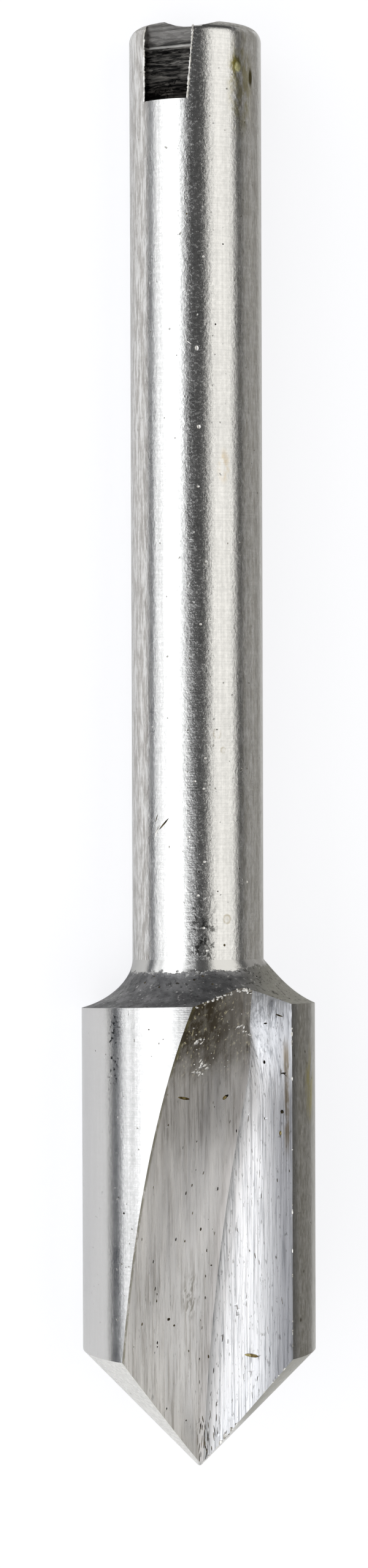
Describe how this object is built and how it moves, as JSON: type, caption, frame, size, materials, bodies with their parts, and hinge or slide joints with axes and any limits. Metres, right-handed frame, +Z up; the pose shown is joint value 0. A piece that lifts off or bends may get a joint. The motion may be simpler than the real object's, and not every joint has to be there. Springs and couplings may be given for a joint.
{
  "type": "groove milling cutter",
  "caption": "Solid V-point groove milling cutter with straight gashes, a hollow-ground neck and a thin round shank, lying on its side.",
  "frame": {"origin": "centre of the bounding box at its bottom, on the surface the tool lies on", "axes": "the tool lies along Y with the shank's end towards +Y and the point towards -Y; +Z is up"},
  "size_m": [0.0056, 0.0352, 0.0053],
  "materials": {
    "steel": "ground"
  },
  "bodies": {
    "root": {"groove_cutter": "steel"}
  },
  "joints": []
}
